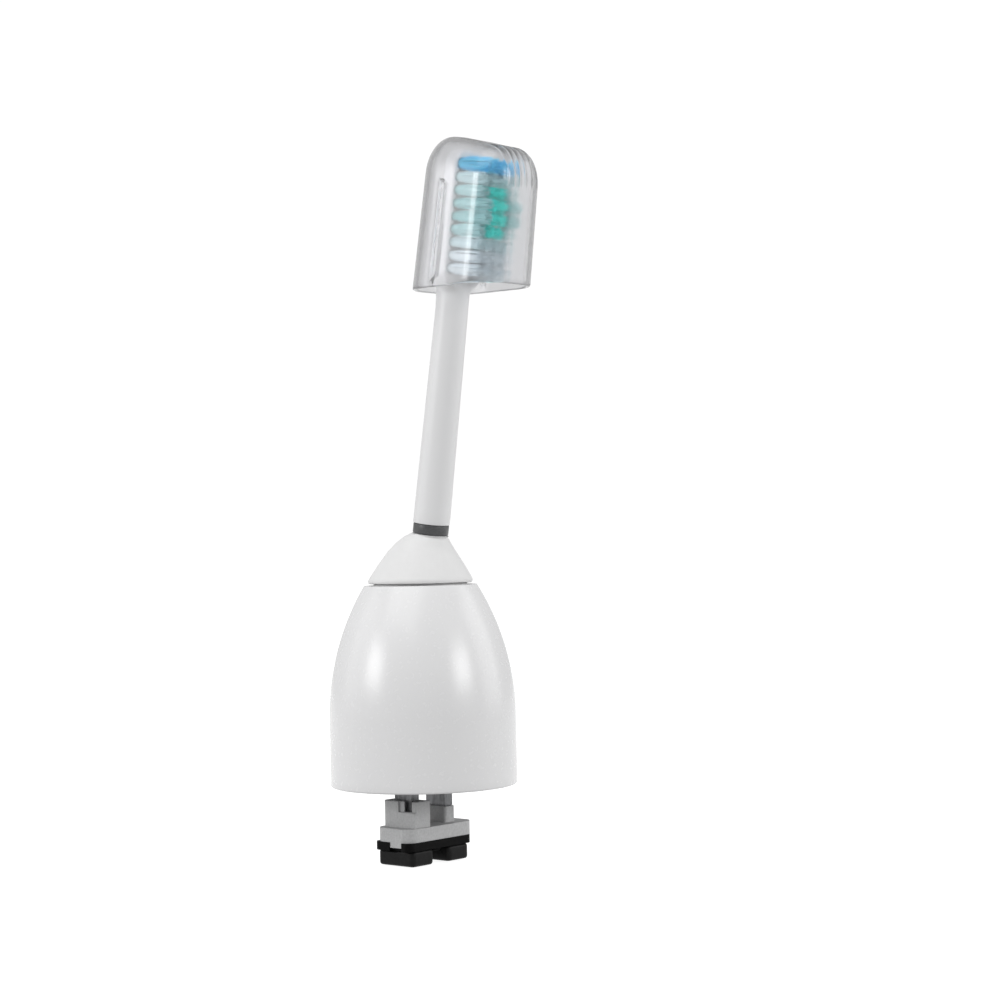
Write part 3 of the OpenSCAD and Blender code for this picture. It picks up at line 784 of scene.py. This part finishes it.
def cap_skin(wall, segments, wall_rows, arc_rows, top_rows):
    """Rings of the cap's outside, or of its cavity when drawn in by a wall, from rim to top."""
    edge = CAP_EDGE_R - wall
    rise = CAP_EDGE_RISE - wall
    shoulder = CAP_H - wall - rise
    rings = []
    for f in np.linspace(0, 1, wall_rows):
        inset = wall + CAP_DRAFT * f
        ring = cap_ring(inset, shoulder, CAP_LIP_R, 1 - f, segments)
        ring[:, 2] -= front_drop(ring[:, 1]) * f
        rings.append(ring)
    for a in np.radians(np.linspace(0, 90, arc_rows + 1)[1:]):
        inset = wall + CAP_DRAFT + edge * (1 - math.cos(a))
        ring = cap_ring(inset, shoulder + rise * math.sin(a), 0, 0, segments)
        ring[:, 2] -= front_drop(ring[:, 1])
        rings.append(ring)
    for f in np.linspace(0, 1, top_rows + 1)[1:]:
        ring = rings[wall_rows + arc_rows - 1].copy()
        ring[:, :2] *= 1 - TOP_CLOSING * f
        ring[:, 2] = CAP_H - wall - front_drop(ring[:, 1])
        rings.append(ring)
    return rings


def cut_flutes(ring):
    """Presses the grip flutes in a ring of the outside, inwards on the wall and down on the end."""
    front_top = CAP_H - CAP_FRONT_DROP
    for p in ring:
        depth = flute(p[0], p[1], p[2])
        if depth:
            slope = smoothstep(front_top - CAP_EDGE_RISE, front_top, p[2])
            p[1] += depth * (1 - slope)
            p[2] -= depth * slope


def raise_ribs(ring):
    """Draws a ring of the cavity inwards where a rib stands on each side wall."""
    reach = CAP_W / 2 - CAP_WALL - PLATE_HALF_W - RIB_GAP
    for p in ring:
        if p[2] < CAP_RIB_TOP + RIB_FADE and abs(p[0]) > SIDE_WALL_X:
            near_rib = 1 - smoothstep(RIB_CREST_HALF_W, RIB_FOOT_HALF_W, abs(p[1] - CAP_RIB_Y))
            below_top = 1 - smoothstep(CAP_RIB_TOP - RIB_FADE, CAP_RIB_TOP, p[2])
            along = smoothstep(RIB_START_H, RIB_FULL_H, p[2]) * below_top
            p[0] -= math.copysign(reach * float(near_rib * along), p[0])


def lip_ring(side, turn, segments):
    """One ring of the rim's round lip: side 0 is the outside of the wall, and 1 the inside."""
    drawn_in = CAP_LIP_R * (1 - math.cos(turn))
    inset = CAP_WALL - drawn_in if side else drawn_in
    return cap_ring(inset, 0, CAP_LIP_R * (1 - math.sin(turn)), 1, segments)


def make_cap():
    """One closed skin: down the outside from the top, round the lip, and up the cavity."""
    segments = 320
    outer = cap_skin(0, segments, 34, 20, 8)
    inner = cap_skin(CAP_WALL, segments, 24, 14, 8)
    for ring in outer:
        cut_flutes(ring)
    for ring in inner:
        raise_ribs(ring)
    turns = np.radians(np.linspace(0, 90, 5)[1:])
    outer_lip = [lip_ring(0, turn, segments) for turn in turns]
    inner_lip = [lip_ring(1, turn, segments) for turn in turns]
    rings = outer[::-1] + outer_lip + inner_lip[::-1] + inner
    points = np.concatenate(rings)
    points[:, 1] -= CAP_FORWARD
    points[:, 2] += CAP_S
    faces = ring_faces(len(rings), segments, close_start=True, close_end=True)
    cap = new_object("cap", from_neck(points), faces)
    sharpen(cap, 60)
    return cap


# ---------------------------------------------------------------- pieces on their bodies

def dress(obj, paint):
    obj.data.materials.clear()
    obj.data.materials.append(paint)
    return obj


def add_piece(obj, body, slot, paint, *nodes):
    """Puts a finer piece on its body, in place of the CAD nodes that it replaces."""
    dress(obj, paint)
    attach(obj, body)
    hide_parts(*nodes)


def dress_cad(node, paint, edge_mm):
    """Paints a CAD node and rounds its edges."""
    obj = frame["nodes"][node]
    for index in range(max(1, len(obj.material_slots))):
        if index < len(obj.material_slots):
            obj.material_slots[index].material = paint
        else:
            obj.data.materials.append(paint)
    if edge_mm:
        soften(obj, edge_mm)


def build_pieces(m):
    add_piece(make_nut(), "nut", "nut_plastic", m["nut"], "retaining_nut")
    add_piece(make_stem(), "arm", "stem_plastic", m["stem"], "brush_stem")
    add_piece(make_ring(), "arm", "ring_plastic", m["ring"], "colour_ring")
    add_piece(make_cap(), "cap", "clear_plastic", m["clear"], "travel_cap")

    boot = dress(make_boot(), m["boot"])
    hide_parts("seal_boot")
    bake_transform(boot)

    groups = [
        ("bristles_tip", "tufts_tip", "blue", lambda row, column: row == 0),
        ("bristles_upper", "tufts_upper", "white",
         lambda row, column: row == 1 or (row == 2 and abs(column) > 1)),
        ("bristles_centre", "tufts_centre", "green",
         lambda row, column: 2 <= row <= 5 and abs(column) < 1),
        ("bristles_side", "tufts_side", "white", lambda row, column: 3 <= row <= 5 and abs(column) > 1),
        ("bristles_heel", "tufts_heel", "white", lambda row, column: row >= 6),
    ]
    for name, node, paint, chosen in groups:
        add_piece(make_tufts(name, chosen), "arm", "bristle_" + paint, m[paint], node)

    for node, paint, edge_mm in [
        ("pivot_housing", "housing", 0.2), ("torsion_pin", "steel", 0.15), ("pivot_bushes", "bush", 0.1),
        ("base_gasket", "gasket", 0.2), ("boot_clamp_ring", "steel", 0.08), ("lever_frame", "lever", 0.16),
        ("magnet_carrier", "carrier", 0.22), ("keeper_plate", "keeper", 0.2),
        ("magnet_left", "magnet", 0.45), ("magnet_right", "magnet", 0.45),
        ("carrier_rivets", "keeper", 0.12), ("tuft_anchors", "anchor", 0),
    ]:
        dress_cad(node, m[paint], edge_mm)


# ---------------------------------------------------------------- camera, floor and light

CAMERA_AZIMUTH_DEG = -47.0
CAMERA_DISTANCE = 348.5
CAMERA_HEIGHT = 38.4
CAMERA_TURN_DEG, CAMERA_LIFT_DEG, CAMERA_ROLL_DEG = 2.081, 0.918, -1.14
LENS = 80.4
FLOOR_GAP = 0.2
AIM_HEIGHT = 40


def make_camera():
    """Looks level at the axis, then is turned, lifted and rolled a little."""
    a = math.radians(CAMERA_AZIMUTH_DEG)
    back = Vector((math.sin(a), -math.cos(a), 0))
    right = Vector((math.cos(a), math.sin(a), 0))
    frame_at = Matrix((right, Vector((0, 0, 1)), back)).transposed().to_4x4()
    turn = Matrix.Rotation(-math.radians(CAMERA_TURN_DEG), 4, "Y")
    lift = Matrix.Rotation(math.radians(CAMERA_LIFT_DEG), 4, "X")
    roll = Matrix.Rotation(math.radians(CAMERA_ROLL_DEG), 4, "Z")
    data = bpy.data.cameras.new("camera")
    data.lens = LENS
    data.sensor_width = 36
    data.clip_start, data.clip_end = 0.01, 20
    camera = bpy.data.objects.new("camera", data)
    bpy.context.scene.collection.objects.link(camera)
    place = Matrix.Translation((back * CAMERA_DISTANCE + Vector((0, 0, CAMERA_HEIGHT))) * MM)
    camera.matrix_world = place @ frame_at @ turn @ lift @ roll
    bpy.context.scene.camera = camera


def make_floor():
    """A pale floor that glows like a light table."""
    level = cad_bounds[0][2] / MM - FLOOR_GAP
    half = 1500.0
    paint = material("floor_paper", (0.3, 0.3, 0.3), 0.9,
                     Emission_Color=(1, 1, 1, 1), Emission_Strength=0.92)
    tone(paint, (0.29, 0.29, 0.29), (0.31, 0.31, 0.31), noise(paint, 30, 3))
    steps = np.linspace(-half, half, 9)
    verts = [(x, y, level) for x in steps for y in steps]
    row = len(steps)
    faces = [
        (i * row + k, (i + 1) * row + k, (i + 1) * row + k + 1, i * row + k + 1)
        for i in range(row - 1) for k in range(row - 1)
    ]
    floor = dress(new_object("floor", verts, faces), paint)
    floor.visible_diffuse = False


def make_dome(name, radius_mm, paint, rays):
    """A glowing sphere round everything, which only the named kinds of ray see."""
    segments, rows = 48, 24
    tilts = np.linspace(0.02, math.pi - 0.02, rows)
    rings = [round_ring(radius_mm * math.sin(t), radius_mm * math.cos(t), segments) for t in tilts]
    faces = ring_faces(rows, segments, close_start=True, close_end=True)
    paint.cycles.emission_sampling = "NONE"
    dome = dress(new_object(name, np.concatenate(rings), faces), paint)
    for kind in ("camera", "diffuse", "glossy", "transmission", "volume_scatter", "shadow"):
        setattr(dome, "visible_" + kind, kind in rays)


def glow(name, strength):
    """A black surface that gives off an even white light."""
    return material(name, (0, 0, 0), 1.0, Emission_Color=(1, 1, 1, 1), Emission_Strength=strength,
                    Specular_IOR_Level=0.0)


def studio_glow(name, behind, levels):
    """A glow whose strength follows the angle from straight behind the object, as (cosine, level) pairs."""
    made = glow(name, 1.0)
    nodes, links = made.node_tree.nodes, made.node_tree.links
    where = nodes.new("ShaderNodeTexCoord")
    unit = nodes.new("ShaderNodeVectorMath")
    unit.operation = "NORMALIZE"
    cosine = nodes.new("ShaderNodeVectorMath")
    cosine.operation = "DOT_PRODUCT"
    cosine.inputs[1].default_value = behind
    spread = nodes.new("ShaderNodeMapRange")
    spread.inputs["From Min"].default_value = -1
    ramp = nodes.new("ShaderNodeValToRGB")
    stops = ramp.color_ramp.elements
    while len(stops) < len(levels):
        stops.new(0.5)
    for stop, (at, level) in zip(stops, levels):
        stop.position = (at + 1) / 2
        stop.color = (level, level, level, 1)
    links.new(where.outputs["Object"], unit.inputs[0])
    links.new(unit.outputs["Vector"], cosine.inputs[0])
    links.new(cosine.outputs["Value"], spread.inputs["Value"])
    links.new(spread.outputs["Result"], ramp.inputs["Fac"])
    links.new(ramp.outputs["Color"], nodes["Principled BSDF"].inputs["Emission Color"])
    return made


def area_light(name, azimuth_deg, elevation_deg, distance_mm, size_mm, power):
    """A soft box that looks at the object, and can't be seen through clear plastic.

    Azimuth 0 is the camera's side.
    """
    a, e = math.radians(CAMERA_AZIMUTH_DEG + azimuth_deg), math.radians(elevation_deg)
    towards = Vector((math.sin(a) * math.cos(e), -math.cos(a) * math.cos(e), math.sin(e)))
    data = bpy.data.lights.new(name, "AREA")
    data.shape = "RECTANGLE"
    data.size, data.size_y = size_mm[0] * MM, size_mm[1] * MM
    data.energy = power
    light = bpy.data.objects.new(name, data)
    light.location = Vector((0, 0, AIM_HEIGHT * MM)) + towards * distance_mm * MM
    light.rotation_mode = "QUATERNION"
    light.rotation_quaternion = towards.to_track_quat("Z", "Y")
    light.visible_transmission = False
    bpy.context.scene.collection.objects.link(light)


def make_lamps():
    area_light("soft_left", -66, 16, 700, (270, 200), 1.6)
    area_light("soft_right", 54, 16, 700, (270, 200), 1.6)
    area_light("fill_left", -98, 18, 700, (400, 500), 0.6)
    area_light("fill_right", 98, 18, 700, (400, 500), 1.3)
    area_light("soft_top", -40, 60, 800, (700, 700), 3.2)


def make_domes():
    """What the camera, the reflections and the clear cap see round the object."""
    a = math.radians(CAMERA_AZIMUTH_DEG)
    behind = (-math.sin(a), math.cos(a), 0)
    levels = [(-1, 0.62), (0.3, 0.6), (0.65, 0.4), (0.86, 0.4), (0.94, 0.78)]
    make_dome("backdrop", 4000, glow("backdrop_paper", 1.03), ("camera",))
    make_dome("surround", 3900, glow("surround_paper", 0.68), ("glossy",))
    make_dome("backlight", 3800, studio_glow("backlight_paper", behind, levels), ("transmission",))


def make_world():
    world = bpy.data.worlds.new("world")
    world.use_nodes = True
    bpy.context.scene.world = world
    world.cycles.sampling_method = "NONE"
    background = world.node_tree.nodes["Background"]
    background.inputs["Color"].default_value = (1, 1, 1, 1)
    background.inputs["Strength"].default_value = 0.47
    bpy.context.scene.view_settings.view_transform = "Standard"


make_camera()
make_floor()
make_lamps()
make_domes()
make_world()
build_pieces(make_materials())
